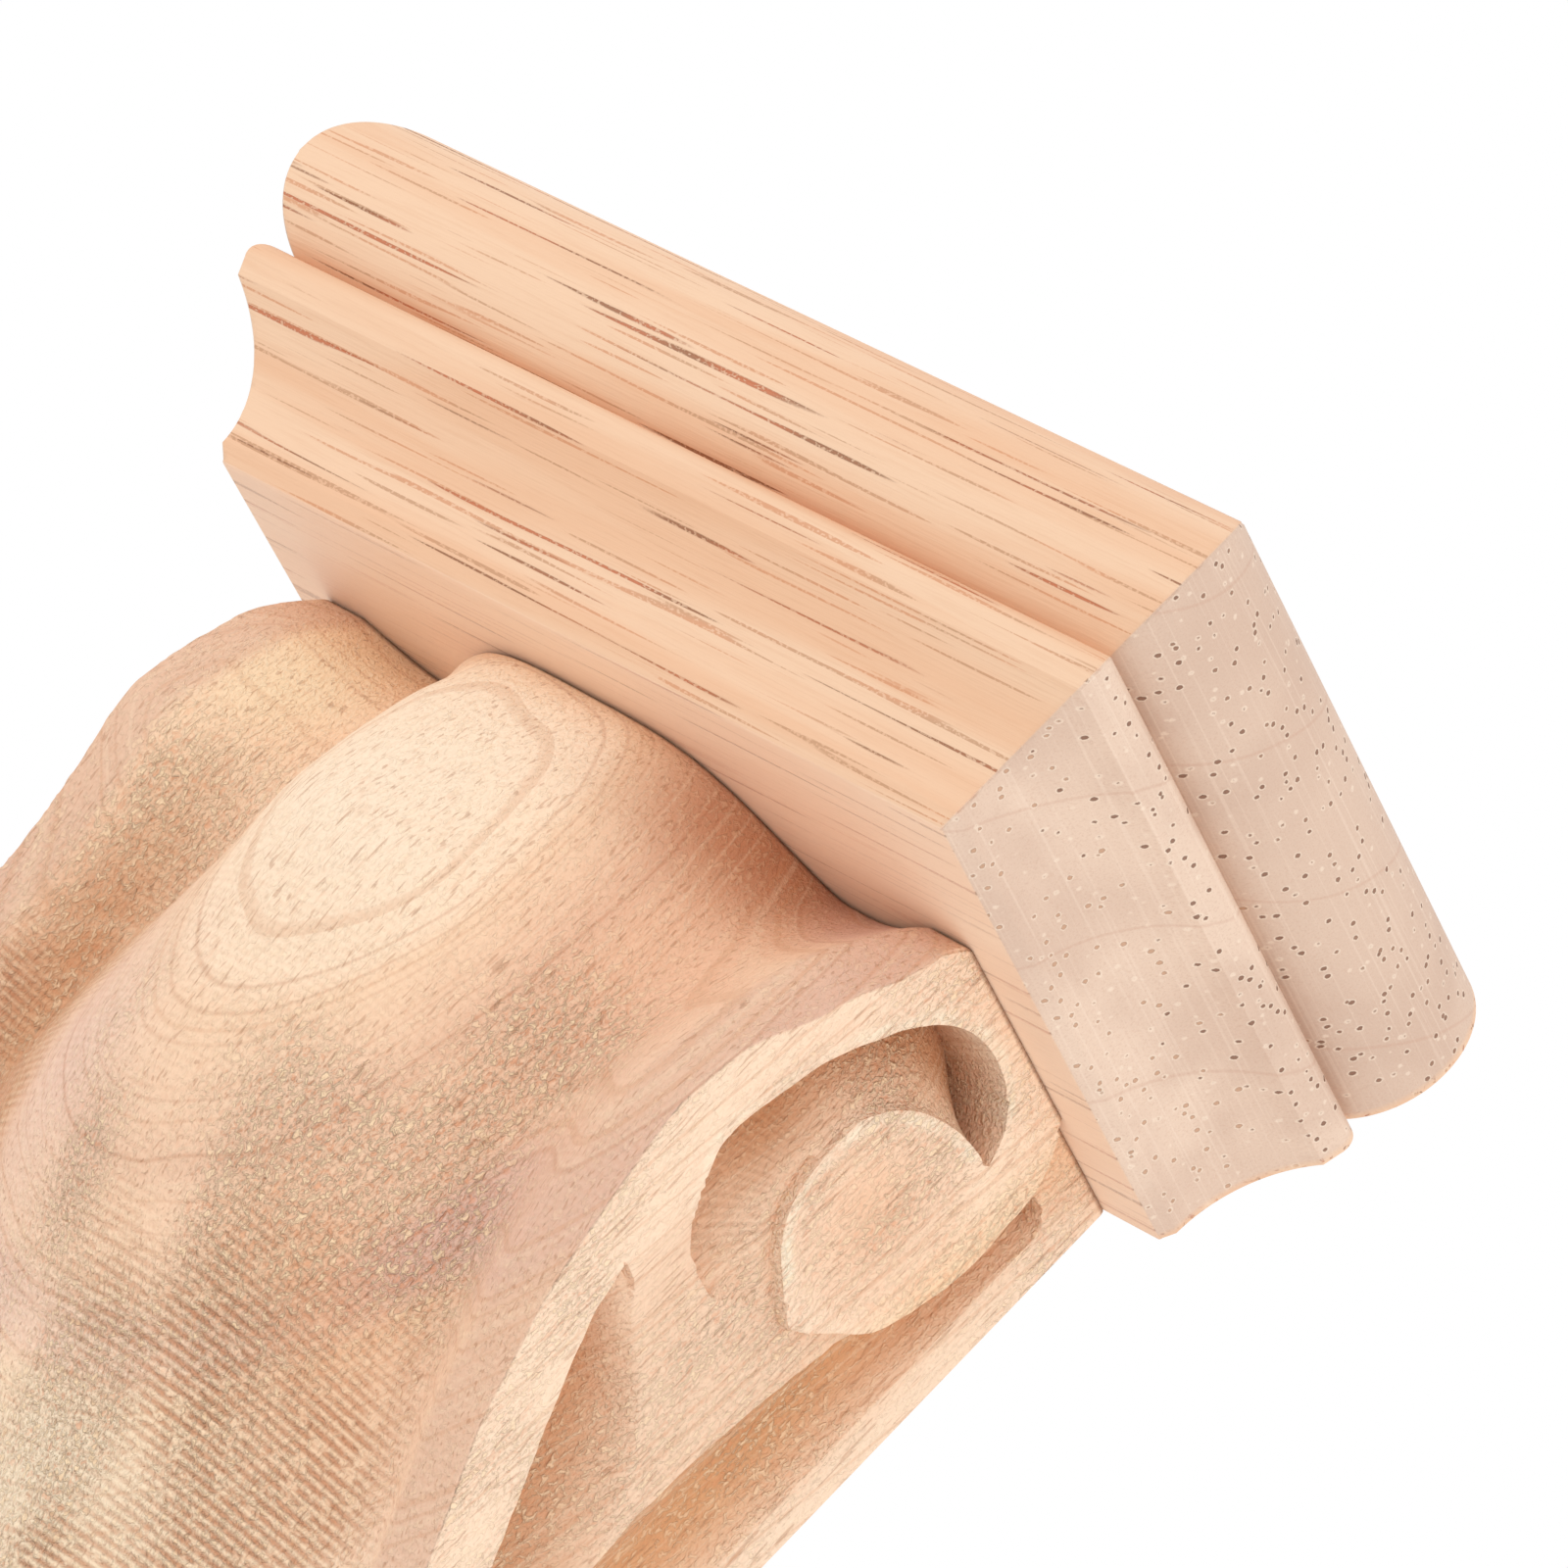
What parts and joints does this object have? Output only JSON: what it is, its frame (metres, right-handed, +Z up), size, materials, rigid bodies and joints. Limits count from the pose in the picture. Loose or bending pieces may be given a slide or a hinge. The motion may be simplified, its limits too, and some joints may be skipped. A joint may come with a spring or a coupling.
{
  "type": "corbel",
  "caption": "Small carved wooden corbel: moulded cap over an S-scroll body with side volutes and a raised tongue, for a wall or furniture.",
  "frame": {"origin": "middle of the flat back face, where the corbel is fixed to the wall", "axes": "+Z up, -Y out from the wall towards the room, X across the front"},
  "size_m": [0.06, 0.033, 0.1],
  "materials": {
    "cap_wood": "raw unfinished rubberwood, long grain across the front, end grain on the sides",
    "body_wood": "raw unfinished rubberwood, carved, with torn grain and fine milling ridges"
  },
  "bodies": {
    "root": {"moulded_cap": "cap_wood", "scroll_body": "body_wood"}
  },
  "joints": []
}
